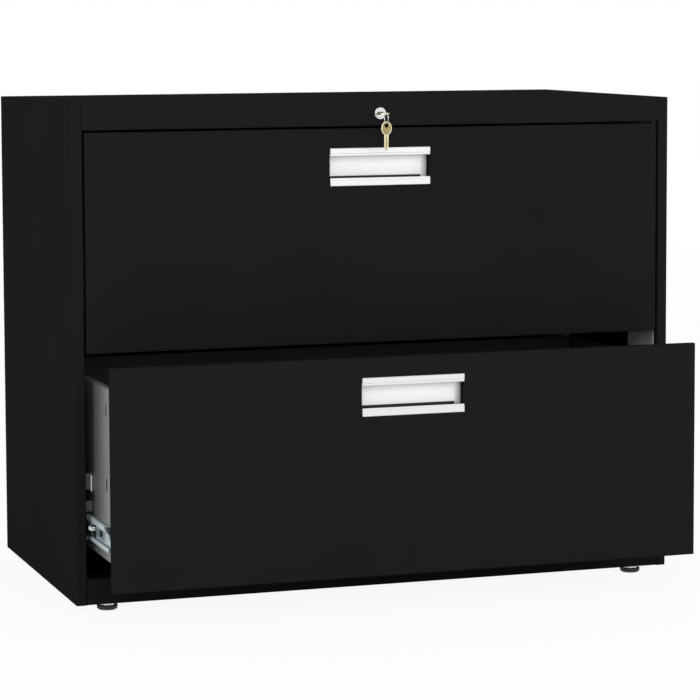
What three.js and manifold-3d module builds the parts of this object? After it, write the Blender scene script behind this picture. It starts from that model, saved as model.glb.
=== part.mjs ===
// Lateral filing cabinet with two drawers, lower drawer part open, key in the lock.
// Millimetres, +Z up, +Y to the back. Origin under the middle of the whole part, on the floor.
import * as THREE from 'three';
import { mergeVertices } from 'three/addons/utils/BufferGeometryUtils.js';
import Module from 'manifold-3d';

const wasm = await Module();
wasm.setup();

// Fits and sheet metal
const seam = 0.3;
const sheet = 1.0;
const bendRadius = 1.5;
const bendSteps = 3;
const curveSteps = 10;
const roundSteps = 24;
const overcut = 1;

// Case
const caseWidth = 914.4;
const caseDepth = 482.6;
const overallHeight = 720.7;
const footHeight = 10.7;
const sideFlange = 15.5;
const sideReturn = 12;
const rearFlange = 20;
const headerHeight = 36;
const headerReturn = 28;
const headerLip = 10;
const topRearDrop = 24;
const kickHeight = 37.5;
const kickReturn = 40;
const bottomFlange = 15;

// Uprights and stop brackets
const uprightSheet = 1.2;
const uprightWidth = 94;
const uprightBehindReturn = 3;
const uprightFromBack = 24.6;
const bracketClearance = 0.4;
const bracketLeg = 20;
const bracketAboveSlide = 23;
const bracketTabLow = 15;
const bracketTabGap = 17;
const bracketTabHigh = 23;

// Counterweight in the base
const weightLength = 760;
const weightDepth = 55;
const weightHeight = 28;
const weightFromBack = 32;
const weightChamfer = 4;

// Glides
const glideRadius = 15;
const glideFootHeight = 6;
const glideEdge = 2;
const glideNeckRadius = 9;
const glideStemRadius = 4;
const glideStemHeight = 20;
const glideHoleClearance = 0.5;
const glideFromSide = 49.2;
const glideInset = 21;

// Drawers
const revealSide = 2.9;
const revealTop = 2.9;
const revealBetween = 4.1;
const revealBottom = 4.7;
const frontDepth = 11;
const lowerOpen = 139.8;
const bodyTopDrop = 34.6;
const bodyBottomRise = 34.7;
const sideGap = 12.7;
const bodyFromBack = 47.6;
const innerFrontGap = 1.5;
const bodyFrontFlange = 9;
const bodyTopFlange = 8;
const railFlange = 10;
const trayFlange = 12;
const slotWidth = 7;
const slotHeight = 17.5;
const slotFromFace = 70;
const slotDrops = [31.5, 136.5];
const flangeNotchHeight = 16;
const flangeNotchDepth = 4;

// Pull and label
const pullLength = 153;
const pullHeight = 55;
const pullDrop = 28.3;
const pullProud = 2.5;
const pullTopBar = 11.2;
const pullLowerBar = 11.7;
const pullWall = 2;
const pullDepth = 16;
const pullLap = 4.5;
const pullTopLip = 3.4;
const pullLowerLip = 3;
const pullLipSet = 0.8;
const pullEdge = 0.7;
const labelHeight = 28;
const labelThickness = 0.5;
const labelLength = 141;
const labelLeftInset = 2.5;
const labelDrop = 12.5;

// Slides
const slideHeight = 35;
const slideSheet = 1.2;
const slideRadius = 0.8;
const slideRise = 32.4;
const slideReturn = 7.2;
const slideLipGap = 0.5;
const slideNoseCut = 27;
const slideWindowLength = 20.5;
const slideWindowHeight = 9;
const slideWindowInset = 52.6;
const slideSlotWidth = 2.2;
const slideSlotHeight = 7.7;
const slideSlotInset = 26.3;
const caseMemberFront = 17;
const middleFront = 32;
const slideFromBack = 45.6;
const middleClearance = 0.5;
const middleSpan = 6.8;
const middleWall = 1.2;
const drawerMemberFront = 39;
const retainerFront = 168;
const retainerLength = 130;
const retainerSheet = 0.8;
const middleShare = 0.3;

// Lock
const lockRise = 18.3;
const lockFaceRadius = 8.4;
const lockFaceThickness = 1.5;
const lockBarrelRadius = 7.4;
const lockBarrelLength = 18;
const plugRadius = 6;
const plugProud = 2.2;
const camThickness = 2;
const camPinOffset = 8;
const camPinRadius = 2;
const camRimWidth = 2;
const camRestAngle = Math.PI / 4;
const barThickness = 1.5;
const barHeight = 20;
const barRight = 24;
const barLength = 440;
const barSlotSide = 0.8;
const barSlotEnd = 1.2;

// Interlock rod behind the left front upright
const rodThickness = 3;
const rodWidth = 12;
const rodBehindFlange = 34;
const rodTopGap = 17;

// Key and key ring
const keyThickness = 1.8;
const keyLength = 42;
const keyBowLength = 20;
const keyBowWidth = 16;
const keyBladeWidth = 7.5;
const keyHoleRadius = 3;
const keyHoleInset = 6;
const keyInsertedFrom = 29;
const keyCutDepths = [1.4, 0.7, 1.8, 1.1];
const keyCutPitch = 4;
const keyCutStart = 3;
const keyTipChamfer = 2;
const keywayClearance = 0.4;
const keywaySpare = 2;
const ringRadius = 8.2;
const ringWire = 1.2;
const ringWireSides = 8;

// Places worked out from the sizes above
const halfWidth = caseWidth / 2;
const innerHalf = halfWidth - sheet - seam;
const openingHalf = halfWidth - sideFlange;
const underTop = overallHeight - sheet - seam;
const headerBottom = overallHeight - headerHeight;
const kickTop = footHeight + kickHeight;
const floorTop = footHeight + sheet + seam;
const backFace = caseDepth - sheet - seam;
const bendOuter = bendRadius + sheet;
const frontUprightY = sideReturn + uprightBehindReturn;
const rearUprightY = caseDepth - uprightFromBack - uprightWidth;
const frontHalf = openingHalf - revealSide;
const frontHeight = (headerBottom - kickTop - revealTop - revealBetween - revealBottom) / 2;
const lowerLevel = kickTop + revealBottom;
const upperLevel = lowerLevel + frontHeight + revealBetween;
const bodyHalf = openingHalf - sideGap;
const bodyInner = bodyHalf - sheet - seam;
const bodyTop = frontHeight - bodyTopDrop;
const bodyFront = frontDepth + seam;
const bodyRear = caseDepth - bodyFromBack;
const innerFront = pullDepth + innerFrontGap;
const slideRear = caseDepth - slideFromBack;
const slideLip = (sideGap - 2 * seam - slideLipGap) / 2;
const slideLevel = bodyBottomRise + slideRise;
const slideHalf = slideHeight / 2;
const returnEdge = slideHalf - slideReturn;
const middleHalf = returnEdge - middleClearance;
const retainerShare = (1 + middleShare) / 2;
const glideOffset = halfWidth - glideFromSide;
const lockHeight = headerBottom + lockRise;
const camFront = lockBarrelLength + seam;
const barBack = camFront + camThickness + seam + barThickness;
const pullTop = frontHeight - pullDrop;
const pullBottom = pullTop - pullHeight;
const drawers = [
  { name: 'upper', level: upperLevel, open: 0 },
  { name: 'lower', level: lowerLevel, open: lowerOpen },
];
const hands = [
  { name: 'left', sign: -1 },
  { name: 'right', sign: 1 },
];

// Finishes
const finishes = {
  black_paint: { color: 0x1b1b1c, roughness: 0.5, metalness: 0.0 },
  galvanised: { color: 0x8b908f, roughness: 0.45, metalness: 0.8 },
  bracket_steel: { color: 0x4b4c4c, roughness: 0.5, metalness: 0.4 },
  drawer_grey: { color: 0x626765, roughness: 0.5, metalness: 0.2 },
  zinc_slide: { color: 0xa9b0b8, roughness: 0.3, metalness: 0.9 },
  pull_aluminium: { color: 0xe6e7ea, roughness: 0.35, metalness: 0.7 },
  label_card: { color: 0xf3f3f7, roughness: 0.7, metalness: 0.0 },
  lock_chrome: { color: 0xc9ccd0, roughness: 0.18, metalness: 1.0 },
  key_brass: { color: 0xb08d45, roughness: 0.3, metalness: 1.0 },
  ring_steel: { color: 0xb9bcc0, roughness: 0.2, metalness: 1.0 },
  glide_steel: { color: 0x8f9296, roughness: 0.35, metalness: 0.9 },
  weight_iron: { color: 0x3a3b3d, roughness: 0.8, metalness: 0.3 },
};

function piece(name, geometry, finish) {
  const mesh = new THREE.Mesh(geometry, new THREE.MeshStandardMaterial(finishes[finish]));
  mesh.name = name;
  return mesh;
}

// Solids

function drawnOut(shape, length) {
  return new THREE.ExtrudeGeometry(shape, { depth: length, bevelEnabled: false, curveSegments: curveSteps });
}

function alongX(shape, from, to) {
  // A profile in (y, z), drawn out along X.
  const basis = new THREE.Matrix4().makeBasis(
    new THREE.Vector3(0, 1, 0), new THREE.Vector3(0, 0, 1), new THREE.Vector3(1, 0, 0));
  return drawnOut(shape, to - from).applyMatrix4(basis).translate(from, 0, 0);
}

function alongY(shape, from, to) {
  // A profile in (x, z), drawn out along Y.
  const basis = new THREE.Matrix4().makeBasis(
    new THREE.Vector3(1, 0, 0), new THREE.Vector3(0, 0, 1), new THREE.Vector3(0, -1, 0));
  return drawnOut(shape, to - from).applyMatrix4(basis).translate(0, to, 0);
}

function alongZ(shape, from, to) {
  // A profile in (x, y), drawn out along Z.
  return drawnOut(shape, to - from).translate(0, 0, from);
}

function block(x, y, z) {
  // A box from three pairs of limits.
  const geometry = new THREE.BoxGeometry(x[1] - x[0], y[1] - y[0], z[1] - z[0]);
  return geometry.translate((x[0] + x[1]) / 2, (y[0] + y[1]) / 2, (z[0] + z[1]) / 2);
}

function drumY(radius, from, to, x, z) {
  // A round bar along Y.
  return new THREE.CylinderGeometry(radius, radius, to - from, roundSteps).translate(x, (from + to) / 2, z);
}

function drumZ(radius, from, to, x, y) {
  // A round bar along Z.
  const geometry = new THREE.CylinderGeometry(radius, radius, to - from, roundSteps).rotateX(Math.PI / 2);
  return geometry.translate(x, y, (from + to) / 2);
}

function solidOf(geometry) {
  const plain = geometry.clone();
  plain.deleteAttribute('normal');
  plain.deleteAttribute('uv');
  const merged = mergeVertices(plain, 1e-4);
  return new wasm.Manifold(new wasm.Mesh({
    numProp: 3,
    vertProperties: new Float32Array(merged.attributes.position.array),
    triVerts: new Uint32Array(merged.index.array),
  }));
}

function geometryOf(solid) {
  const mesh = solid.getMesh();
  const geometry = new THREE.BufferGeometry();
  geometry.setAttribute('position', new THREE.BufferAttribute(mesh.vertProperties, 3));
  geometry.setIndex(new THREE.BufferAttribute(mesh.triVerts, 1));
  geometry.computeVertexNormals();
  return geometry;
}

function cut(geometry, tools) {
  return geometryOf(tools.reduce((solid, tool) => solid.subtract(solidOf(tool)), solidOf(geometry)));
}

function join(geometries) {
  return geometryOf(geometries.map(solidOf).reduce((sum, next) => sum.add(next)));
}

function common(first, second) {
  return geometryOf(solidOf(first).intersect(solidOf(second)));
}

function handed(geometry, sign) {
  // The piece as drawn for the right hand, or its mirror image for the left.
  if (sign > 0) return geometry;
  const mirrored = geometry.index ? geometry.toNonIndexed() : geometry.clone();
  mirrored.deleteAttribute('normal');
  const position = mirrored.attributes.position;
  for (let i = 0; i < position.count; i += 3) {
    const corners = [0, 2, 1].map((k) => new THREE.Vector3().fromBufferAttribute(position, i + k));
    corners.forEach((corner, k) => position.setXYZ(i + k, -corner.x, corner.y, corner.z));
  }
  mirrored.computeVertexNormals();
  return mirrored;
}

function bentSheet(path, thickness = sheet, radius = bendRadius) {
  // Outline of a folded sheet. The path runs along one face, with the metal on its left.
  const points = path.map(([u, v]) => new THREE.Vector2(u, v));
  const leftOf = (d) => new THREE.Vector2(-d.y, d.x);
  const heading = points.slice(1).map((p, i) => p.clone().sub(points[i]).normalize());
  const near = [points[0].clone()];
  const far = [points[0].clone().addScaledVector(leftOf(heading[0]), thickness)];
  for (let i = 1; i < points.length - 1; i += 1) {
    const turn = heading[i - 1].cross(heading[i]);
    const hand = Math.sign(turn);
    const angle = Math.atan2(Math.abs(turn), heading[i - 1].dot(heading[i]));
    const nearRadius = hand > 0 ? radius + thickness : radius;
    const farRadius = nearRadius - hand * thickness;
    const normal = leftOf(heading[i - 1]);
    const centre = points[i].clone()
      .addScaledVector(heading[i - 1], -nearRadius * Math.tan(angle / 2))
      .addScaledVector(normal, hand * nearRadius);
    for (let step = 0; step <= bendSteps; step += 1) {
      const ray = normal.clone().rotateAround(new THREE.Vector2(), hand * angle * step / bendSteps);
      near.push(centre.clone().addScaledVector(ray, -hand * nearRadius));
      far.push(centre.clone().addScaledVector(ray, -hand * farRadius));
    }
  }
  const last = points[points.length - 1];
  near.push(last.clone());
  far.push(last.clone().addScaledVector(leftOf(heading[heading.length - 1]), thickness));
  return new THREE.Shape([...near, ...far.reverse()]);
}

function roundedFront(low, high, front, back, radius) {
  // A rectangle in (across, depth) whose two front corners are rounded.
  const shape = new THREE.Shape();
  shape.moveTo(low, back);
  shape.lineTo(low, front + radius);
  shape.absarc(low + radius, front + radius, radius, Math.PI, 1.5 * Math.PI);
  shape.lineTo(high - radius, front);
  shape.absarc(high - radius, front + radius, radius, 1.5 * Math.PI, 2 * Math.PI);
  shape.lineTo(high, back);
  return new THREE.Shape(shape.getPoints(bendSteps));
}

function swapped(shape) {
  // The same outline with its two axes exchanged.
  return new THREE.Shape(shape.getPoints().map((p) => new THREE.Vector2(p.y, p.x)));
}

// Case

function sidePanel() {
  const plan = bentSheet([
    [openingHalf, sideReturn],
    [openingHalf, 0],
    [halfWidth, 0],
    [halfWidth, caseDepth],
    [halfWidth - rearFlange, caseDepth],
  ]);
  return alongZ(plan, footHeight, underTop);
}

function topPanel() {
  // The top sheet lies over the side panels. The header and the rear drop stop between their flanges.
  const profile = bentSheet([
    [caseDepth, overallHeight - topRearDrop],
    [caseDepth, overallHeight],
    [0, overallHeight],
    [0, headerBottom],
    [headerReturn, headerBottom],
    [headerReturn, headerBottom + headerLip],
  ]);
  const under = [headerBottom - overcut, overallHeight - sheet];
  const beyondHeader = [openingHalf - seam, halfWidth + overcut];
  const beyondDrop = [halfWidth - rearFlange - seam, halfWidth + overcut];
  const notches = hands.flatMap(({ sign }) => [
    handed(block(beyondHeader, [-overcut, headerReturn + overcut], under), sign),
    handed(block(beyondDrop, [caseDepth - bendOuter - overcut, caseDepth + overcut], under), sign),
  ]);
  const lockHole = drumY(lockBarrelRadius + seam, -overcut, sheet + overcut, 0, lockHeight);
  return cut(alongX(profile, -halfWidth, halfWidth), [...notches, lockHole]);
}

function backPanel() {
  const half = halfWidth - bendOuter;
  return block([-half, half], [backFace - sheet, backFace], [footHeight, overallHeight - bendOuter]);
}

function glideHole(x, y) {
  const radius = glideStemRadius + glideHoleClearance;
  return drumZ(radius, footHeight - overcut, footHeight + sheet + overcut, x, y);
}

function bottomPanel() {
  const section = bentSheet([
    [-innerHalf, footHeight + bottomFlange],
    [-innerHalf, footHeight],
    [innerHalf, footHeight],
    [innerHalf, footHeight + bottomFlange],
  ]);
  const rear = Math.min(backFace - sheet, caseDepth - bendOuter) - seam;
  const holes = hands.map(({ sign }) => glideHole(sign * glideOffset, caseDepth - glideInset));
  return cut(alongY(section, kickReturn + seam, rear), holes);
}

function kickRail() {
  const profile = bentSheet([
    [kickReturn, kickTop],
    [0, kickTop],
    [0, footHeight],
    [kickReturn, footHeight],
  ]);
  const half = openingHalf - seam;
  const holes = hands.map(({ sign }) => glideHole(sign * glideOffset, glideInset));
  return cut(alongX(profile, -half, half), holes);
}

function upright(front) {
  const outboard = innerHalf - bendOuter;
  const plan = bentSheet([
    [outboard, front + uprightWidth],
    [openingHalf, front + uprightWidth],
    [openingHalf, front],
    [outboard, front],
  ], uprightSheet);
  return alongZ(plan, floorTop, underTop);
}

function stopBracket() {
  // An angle on the front upright, with two tabs that the drawer's front flange closes against.
  const seat = openingHalf - seam;
  const tip = bodyHalf + bracketClearance;
  const plan = bentSheet([
    [tip, frontUprightY],
    [seat, frontUprightY],
    [seat, frontUprightY + bracketLeg],
  ], uprightSheet);
  const gapFoot = bracketAboveSlide + bracketTabLow;
  const gapHead = gapFoot + bracketTabGap;
  const gap = block(
    [tip - overcut, seat - uprightSheet - bendRadius],
    [frontUprightY - overcut, frontUprightY + uprightSheet + overcut],
    [gapFoot, gapHead]);
  return cut(alongZ(plan, bracketAboveSlide, gapHead + bracketTabHigh), [gap]);
}

function counterweight() {
  const rear = caseDepth - weightFromBack;
  const front = rear - weightDepth;
  const head = floorTop + weightHeight;
  const profile = new THREE.Shape();
  profile.moveTo(front, floorTop);
  profile.lineTo(rear, floorTop);
  profile.lineTo(rear, head - weightChamfer);
  profile.lineTo(rear - weightChamfer, head);
  profile.lineTo(front + weightChamfer, head);
  profile.lineTo(front, head - weightChamfer);
  return alongX(profile, -weightLength / 2, weightLength / 2);
}

function glide() {
  const neckTop = footHeight - seam;
  const outline = [
    [0, 0],
    [glideRadius - glideEdge, 0],
    [glideRadius, glideEdge],
    [glideRadius, glideFootHeight],
    [glideNeckRadius, glideFootHeight],
    [glideNeckRadius, neckTop],
    [glideStemRadius, neckTop],
    [glideStemRadius, footHeight + glideStemHeight],
    [0, footHeight + glideStemHeight],
  ].map(([radius, height]) => new THREE.Vector2(radius, height));
  return new THREE.LatheGeometry(outline, roundSteps).rotateX(Math.PI / 2);
}

// Slides, drawn for the right hand about the slide's middle height

function slideSection(web, toward) {
  // A channel whose flanges turn back in at their edges. It opens to the right where toward is 1.
  const lip = web + toward * slideLip;
  return bentSheet([
    [lip, toward * returnEdge],
    [lip, toward * slideHalf],
    [web, toward * slideHalf],
    [web, -toward * slideHalf],
    [lip, -toward * slideHalf],
    [lip, -toward * returnEdge],
  ], slideSheet, slideRadius);
}

function caseMember() {
  return alongY(slideSection(openingHalf - seam, -1), caseMemberFront, slideRear);
}

function slideWindow(across) {
  // The window through the drawer member and the drawer side behind it.
  const front = drawerMemberFront + slideWindowInset;
  const tall = slideWindowHeight / 2;
  return block(across, [front, front + slideWindowLength], [-tall, tall]);
}

function drawerMember() {
  // The front end is cut back on a slant above the lower return.
  const web = bodyHalf + seam;
  const nose = new THREE.Shape();
  nose.moveTo(drawerMemberFront, -returnEdge);
  nose.lineTo(drawerMemberFront + slideNoseCut, slideHalf);
  nose.lineTo(drawerMemberFront + slideNoseCut, slideHalf + overcut);
  nose.lineTo(drawerMemberFront - overcut, slideHalf + overcut);
  nose.lineTo(drawerMemberFront - overcut, -returnEdge);
  const across = [web - overcut, web + slideSheet + overcut];
  const slotFront = drawerMemberFront + slideSlotInset;
  const slotTall = slideSlotHeight / 2;
  return cut(alongY(slideSection(web, 1), drawerMemberFront, bodyRear), [
    alongX(nose, web - overcut, web + slideLip + overcut),
    slideWindow(across),
    block(across, [slotFront, slotFront + slideSlotWidth], [-slotTall, slotTall]),
  ]);
}

function middleMember() {
  // Two ball races back to back: a web with a flange above and below.
  const centre = (bodyHalf + openingHalf) / 2;
  const race = middleSpan / 2;
  const web = middleWall / 2;
  const quarter = [[race, middleHalf], [race, middleHalf - middleWall], [web, middleHalf - middleWall]];
  const right = [...quarter, ...quarter.slice().reverse().map(([u, v]) => [u, -v])];
  const left = right.slice().reverse().map(([u, v]) => [-u, v]);
  const section = [...right, ...left].map(([u, v]) => new THREE.Vector2(centre + u, v));
  return alongY(new THREE.Shape(section), middleFront, slideRear);
}

function ballRetainer() {
  // A channel between the drawer member's web and the middle member, with its flanges along the ball lines.
  const web = bodyHalf + seam + slideSheet + seam;
  const lip = bodyHalf + seam + slideLip - slideSheet - seam;
  const ballLine = (slideHalf - slideSheet + middleHalf) / 2;
  const half = ballLine + retainerSheet / 2;
  const section = bentSheet([
    [lip, half],
    [web, half],
    [web, -half],
    [lip, -half],
  ], retainerSheet, slideRadius);
  return alongY(section, retainerFront, retainerFront + retainerLength);
}

// Drawers, drawn from the front face and the bottom edge of the drawer front

function pan(inset, radius, back) {
  // The space inside a front pan's skin, or with no inset the whole pan's outside.
  const across = roundedFront(inset - frontHalf, frontHalf - inset, inset, back, radius);
  const upward = swapped(roundedFront(inset, frontHeight - inset, inset, back, radius));
  return common(alongZ(across, 0, frontHeight), alongX(upward, -frontHalf, frontHalf));
}

function drawerFront() {
  const shell = cut(pan(0, bendOuter, frontDepth), [pan(sheet, bendRadius, frontDepth + overcut)]);
  const half = pullLength / 2 + seam;
  const sill = pullBottom + pullLap - seam;
  const lintel = pullTop - pullLap + seam;
  const opening = block([-half, half], [-overcut, sheet + overcut], [sill, lintel]);
  const ends = hands.map(({ sign }) => handed(
    block([half, half + sheet], [0, pullDepth], [sill, lintel]), sign));
  return join([cut(shell, [opening]), ...ends]);
}

function innerFrontWall() {
  const profile = bentSheet([
    [innerFront + railFlange, bodyTop],
    [innerFront, bodyTop],
    [innerFront, bodyBottomRise],
  ]);
  return alongX(profile, -bodyInner, bodyInner);
}

function drawerSide() {
  // A wall folded out in front and in along the top, with the top fold cut away beside both rails.
  const flangeBack = bodyFront + sheet;
  const foldEnd = flangeBack + bendRadius;
  const foldFoot = bodyTop - bendOuter;
  const railClear = railFlange + seam;
  const plan = bentSheet([
    [bodyHalf + bodyFrontFlange, flangeBack],
    [bodyHalf, flangeBack],
    [bodyHalf, foldEnd + overcut],
  ]);
  const section = bentSheet([
    [bodyHalf, bodyBottomRise],
    [bodyHalf, bodyTop],
    [bodyHalf - bodyTopFlange, bodyTop],
  ]);
  const flangeWidth = [bodyHalf - bodyTopFlange - overcut, bodyHalf + overcut];
  const railNotches = [
    [foldEnd - overcut, innerFront + railClear],
    [bodyRear - railClear, bodyRear + overcut],
  ].map((reach) => block(flangeWidth, reach, [foldFoot, bodyTop + overcut]));
  const side = join([
    alongZ(plan, bodyBottomRise, foldFoot),
    cut(alongY(section, foldEnd, bodyRear), railNotches),
  ]);
  const slots = slotDrops.map((drop) => block(
    [bodyHalf - sheet - overcut, bodyHalf + overcut],
    [slotFromFace - slotWidth / 2, slotFromFace + slotWidth / 2],
    [bodyTop - drop - slotHeight / 2, bodyTop - drop + slotHeight / 2]));
  const window = slideWindow([bodyHalf - sheet - overcut, bodyHalf + overcut]).translate(0, 0, slideLevel);
  const notchMiddle = bodyTop - slotDrops[0];
  const notch = block(
    [bodyHalf + bodyFrontFlange - flangeNotchDepth, bodyHalf + bodyFrontFlange + overcut],
    [bodyFront - overcut, flangeBack + overcut],
    [notchMiddle - flangeNotchHeight / 2, notchMiddle + flangeNotchHeight / 2]);
  return cut(side, [...slots, window, notch]);
}

function drawerBottom() {
  const section = bentSheet([
    [-bodyInner, bodyBottomRise + trayFlange],
    [-bodyInner, bodyBottomRise],
    [bodyInner, bodyBottomRise],
    [bodyInner, bodyBottomRise + trayFlange],
  ]);
  return alongY(section, innerFront + sheet + seam, bodyRear);
}

function drawerBack() {
  const profile = bentSheet([
    [bodyRear, bodyBottomRise + sheet + seam],
    [bodyRear, bodyTop],
    [bodyRear - railFlange, bodyTop],
  ]);
  const half = bodyInner - bendOuter;
  return alongX(profile, -half, half);
}

function pull() {
  // A channel with a bar along each edge of its mouth. Each bar has a set-back lip beside the mouth.
  const lapBack = -seam;
  const barFace = -pullProud;
  const lipFace = pullLipSet - pullProud;
  const edgeFace = pullEdge - pullProud;
  const topFoot = pullTop - pullTopBar;
  const lowerHead = pullBottom + pullLowerBar;
  const roof = pullTop - pullLap;
  const sill = pullBottom + pullLap;
  const outline = [
    [lapBack, topFoot],
    [lipFace, topFoot],
    [lipFace, topFoot + pullTopLip],
    [barFace, topFoot + pullTopLip],
    [barFace, pullTop - pullEdge],
    [edgeFace, pullTop],
    [lapBack, pullTop],
    [lapBack, roof],
    [pullDepth, roof],
    [pullDepth, sill],
    [lapBack, sill],
    [lapBack, pullBottom],
    [edgeFace, pullBottom],
    [barFace, pullBottom + pullEdge],
    [barFace, lowerHead - pullLowerLip],
    [lipFace, lowerHead - pullLowerLip],
    [lipFace, lowerHead],
    [lapBack, lowerHead],
    [lapBack, sill + pullWall],
    [pullDepth - pullWall, sill + pullWall],
    [pullDepth - pullWall, roof - pullWall],
    [lapBack, roof - pullWall],
  ].map(([depth, height]) => new THREE.Vector2(depth, height));
  return alongX(new THREE.Shape(outline), -pullLength / 2, pullLength / 2);
}

function labelCard() {
  const left = labelLeftInset - pullLength / 2;
  const back = pullDepth - pullWall - seam;
  const head = pullTop - labelDrop;
  return block([left, left + labelLength], [back - labelThickness, back], [head - labelHeight, head]);
}

// Lock, with its axis along Y through the header

function lockHousing() {
  const bore = plugRadius + seam;
  const outline = [
    [bore, -seam - lockFaceThickness],
    [lockFaceRadius, -seam - lockFaceThickness],
    [lockFaceRadius, -seam],
    [lockBarrelRadius, -seam],
    [lockBarrelRadius, lockBarrelLength],
    [bore, lockBarrelLength],
    [bore, -seam - lockFaceThickness],
  ].map(([radius, depth]) => new THREE.Vector2(radius, depth));
  return new THREE.LatheGeometry(outline, roundSteps).translate(0, 0, lockHeight);
}

function lockPlug() {
  const outline = [
    [0, -plugProud],
    [plugRadius, -plugProud],
    [plugRadius, lockBarrelLength],
    [0, lockBarrelLength],
  ].map(([radius, depth]) => new THREE.Vector2(radius, depth));
  const drum = new THREE.LatheGeometry(outline, roundSteps).translate(0, 0, lockHeight);
  const wide = keyBladeWidth / 2 + keywayClearance;
  const tall = keyThickness / 2 + keywayClearance;
  const keyway = block(
    [-wide, wide],
    [-plugProud - overcut, keyLength - keyInsertedFrom + keywaySpare],
    [lockHeight - tall, lockHeight + tall]);
  return cut(drum, [keyway]);
}

function lockCam() {
  // A tapered arm on the plug's tail, with a pin that drives the lock bar.
  const hub = plugRadius;
  const tip = camPinRadius + camRimWidth;
  const lean = Math.acos((hub - tip) / camPinOffset);
  const start = lean - Math.PI / 2;
  const end = 1.5 * Math.PI - lean;
  const arm = new THREE.Shape();
  arm.absarc(0, 0, hub, start, end);
  arm.absarc(0, -camPinOffset, tip, end, start + 2 * Math.PI);
  const pin = drumY(camPinRadius, camFront + camThickness / 2, barBack + barThickness, 0, -camPinOffset);
  const cam = join([alongY(arm, camFront, camFront + camThickness), pin]);
  return cam.rotateY(camRestAngle).translate(0, 0, lockHeight);
}

function lockBar() {
  const foot = headerBottom + sheet + seam;
  const pinX = -camPinOffset * Math.sin(camRestAngle);
  const pinLow = lockHeight - camPinOffset;
  const pinHigh = lockHeight - camPinOffset * Math.cos(camRestAngle);
  const side = camPinRadius + barSlotSide;
  const end = camPinRadius + barSlotEnd;
  const bar = block(
    [barRight - barLength, barRight],
    [barBack - barThickness, barBack],
    [foot, foot + barHeight]);
  const slot = block(
    [pinX - side, pinX + side],
    [barBack - barThickness - overcut, barBack + overcut],
    [pinLow - end, pinHigh + end]);
  return cut(bar, [slot]);
}

function interlockRod() {
  const near = openingHalf + uprightSheet + seam;
  const front = frontUprightY + uprightSheet + rodBehindFlange;
  return block([near, near + rodThickness], [front, front + rodWidth], [floorTop, underTop - rodTopGap]);
}

// Key

function keyBlank() {
  // A flat key in (x, y): the bow's end at y = 0 and the blade's tip at y = keyLength.
  const edge = keyBladeWidth / 2;
  const wide = keyBowWidth / 2;
  const long = keyBowLength / 2;
  const shoulder = Math.acos(edge / wide);
  const outline = new THREE.Shape();
  outline.absellipse(0, long, wide, long, Math.PI - shoulder, 2 * Math.PI + shoulder);
  keyCutDepths.forEach((depth, i) => {
    const from = keyBowLength + keyCutStart + i * keyCutPitch;
    outline.lineTo(edge, from);
    outline.lineTo(edge - depth, from + keyCutPitch / 2);
  });
  outline.lineTo(edge, keyBowLength + keyCutStart + keyCutDepths.length * keyCutPitch);
  outline.lineTo(edge - keyTipChamfer, keyLength);
  outline.lineTo(keyTipChamfer - edge, keyLength);
  outline.lineTo(-edge, keyLength - keyTipChamfer);
  const hole = new THREE.Path();
  hole.absarc(0, keyHoleInset, keyHoleRadius, 0, 2 * Math.PI);
  outline.holes.push(hole);
  return alongZ(outline, -keyThickness / 2, keyThickness / 2);
}

function keyRing() {
  return new THREE.TorusGeometry(ringRadius, ringWire / 2, ringWireSides, roundSteps).rotateY(Math.PI / 2);
}

// Assembly

const cabinet = new THREE.Group();
cabinet.position.y = (lowerOpen + pullProud - caseDepth) / 2;

cabinet.add(
  piece('top_panel', topPanel(), 'black_paint'),
  piece('back_panel', backPanel(), 'black_paint'),
  piece('bottom_panel', bottomPanel(), 'black_paint'),
  piece('kick_rail', kickRail(), 'black_paint'),
  piece('counterweight', counterweight(), 'weight_iron'),
  piece('lock_housing', lockHousing(), 'lock_chrome'),
  piece('lock_plug', lockPlug(), 'lock_chrome'),
  piece('lock_cam', lockCam(), 'galvanised'),
  piece('lock_bar', lockBar(), 'galvanised'),
  piece('interlock_rod', handed(interlockRod(), -1), 'galvanised'),
);

for (const { name, sign } of hands) {
  cabinet.add(
    piece(`${name}_side_panel`, handed(sidePanel(), sign), 'black_paint'),
    piece(`${name}_front_upright`, handed(upright(frontUprightY), sign), 'galvanised'),
    piece(`${name}_rear_upright`, handed(upright(rearUprightY), sign), 'galvanised'),
  );
  const glideLines = { front: glideInset, rear: caseDepth - glideInset };
  for (const [place, y] of Object.entries(glideLines)) {
    const foot = piece(`${name}_${place}_glide`, glide(), 'glide_steel');
    foot.position.set(sign * glideOffset, y, 0);
    cabinet.add(foot);
  }
}

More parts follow.
